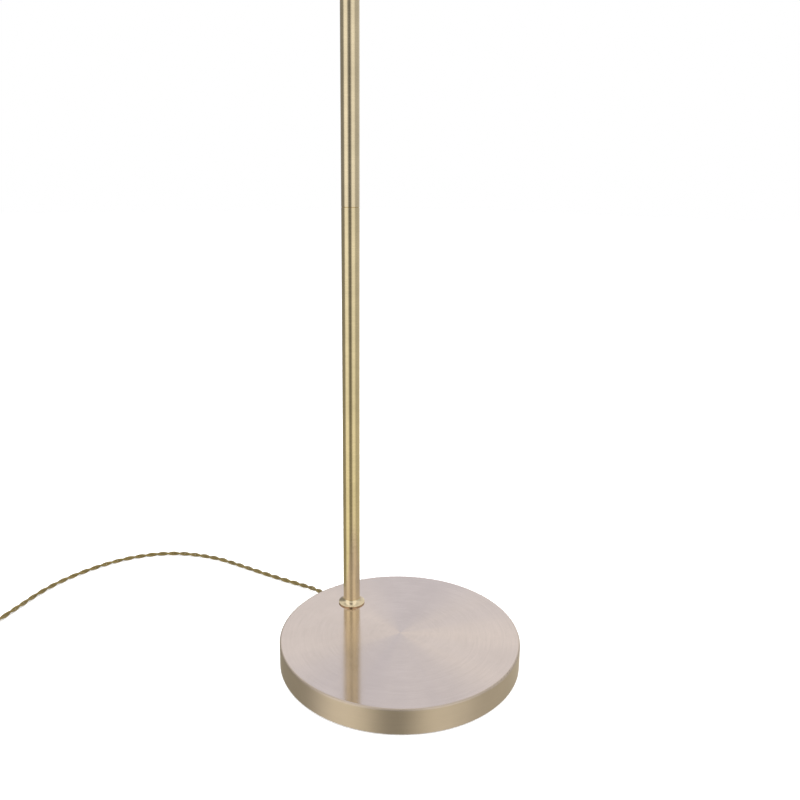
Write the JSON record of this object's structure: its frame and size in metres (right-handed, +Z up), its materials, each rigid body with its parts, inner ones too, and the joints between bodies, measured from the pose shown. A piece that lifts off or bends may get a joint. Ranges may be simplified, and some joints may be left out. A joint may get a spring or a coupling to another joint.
{
  "type": "pharmacy floor lamp",
  "caption": "Floor lamp with a round weighted base, a slim pole set back on it, a sliding rod, a swivelling neck and a small dome shade that rolls and tilts.",
  "frame": {"origin": "middle of the base's underside, on the floor", "axes": "+Z up; -Y is the front, where the shade reaches; the pole stands on the Y axis behind the origin"},
  "size_m": [0.5538, 0.692, 1.45],
  "materials": {
    "satin_brass": "circular brushed on top, satin antique",
    "tube_brass": "satin antique, lengthwise grain",
    "shade_brass": "satin antique outside, pale inside",
    "polished_brass": "polished antique",
    "turned_brass": "machined",
    "iron": "as cast, painted",
    "plate": "satin black",
    "screw": "zinc plated",
    "felt": "felt",
    "nylon": "moulded",
    "gland": "moulded, soft",
    "bakelite": "moulded",
    "opal_glass": "opal",
    "lamp_metal": "rolled thread",
    "inner_flex": "thin sheath",
    "flex_fabric": "twisted two-core, braided cover",
    "plug_plastic": "moulded",
    "pin_metal": "nickel plated"
  },
  "bodies": {
    "base": {"floor_pad": "felt", "bottom_plate": "plate", "plate_screws": "screw", "base_weight": "iron", "base_cover": "satin_brass", "flex_saddle": "nylon", "saddle_screws": "screw", "terminal_block": "nylon", "flex_gland": "gland", "pole_nipple": "screw", "nipple_washer": "screw", "nipple_nut": "screw", "pole_collar": "polished_brass", "foot_insert": "turned_brass", "lower_tube": "tube_brass", "joint_stud": "turned_brass", "joint_socket": "turned_brass", "upper_tube": "tube_brass", "guide_bush": "nylon", "height_clamp": "polished_brass", "clamp_shoe": "nylon", "flex_in_base": "flex_fabric", "flex_in_pole": "inner_flex", "flex_slack": "inner_flex", "flex_run": "flex_fabric", "flex_coil": "flex_fabric", "flex_tail": "flex_fabric", "plug_body": "plug_plastic", "plug_pins": "pin_metal"},
    "height_screw": {"height_screw": "polished_brass"},
    "rod": {"inner_rod": "tube_brass", "rod_stop": "nylon", "swivel_base": "polished_brass", "swivel_washer": "nylon", "flex_in_rod": "inner_flex"},
    "neck": {"swivel_head": "polished_brass", "neck_tube": "tube_brass", "roll_bush": "polished_brass", "flex_in_neck": "inner_flex"},
    "fork": {"tilt_fork": "turned_brass", "pivot_bolt": "polished_brass"},
    "tilt_knob": {"tilt_knob": "polished_brass"},
    "head": {"tilt_tongue": "turned_brass", "holder_cap": "tube_brass", "switch_body": "bakelite", "switch_nut": "polished_brass", "lampholder": "bakelite", "shade": "shade_brass", "shade_ring": "bakelite", "lamp_globe": "opal_glass", "lamp_cap": "lamp_metal"},
    "switch_knob": {"switch_knob": "polished_brass"}
  },
  "joints": [
    {"name": "height_slide", "type": "slide", "parent": "base", "child": "rod", "axis": [0, 0, 1], "range_m": [-0.16, 0.15], "deforming": ["flex_slack"]},
    {"name": "height_screw_turn", "type": "hinge", "parent": "base", "child": "height_screw", "pos_m": [0.012, 0.086, 0.9435], "axis": [1, 0, 0], "range_deg": [-20, 360]},
    {"name": "neck_swivel", "type": "hinge", "parent": "rod", "child": "neck", "pos_m": [0, 0.086, 1.311], "axis": [0, 0, 1], "range_deg": [-165, 165]},
    {"name": "shade_roll", "type": "hinge", "parent": "neck", "child": "fork", "pos_m": [0, -0.077, 1.415], "axis": [0, -1, 0], "range_deg": [-80, 80]},
    {"name": "shade_tilt", "type": "hinge", "parent": "fork", "child": "head", "pos_m": [0, -0.104, 1.415], "axis": [-1, 0, 0], "range_deg": [-25, 75]},
    {"name": "tilt_knob_turn", "type": "hinge", "parent": "fork", "child": "tilt_knob", "pos_m": [-0.012, -0.104, 1.415], "axis": [-1, 0, 0], "range_deg": [-20, 360]},
    {"name": "switch_turn", "type": "hinge", "parent": "head", "child": "switch_knob", "pos_m": [0, -0.136, 1.435], "axis": [0, 0, -1], "range_deg": [0, 90]}
  ]
}
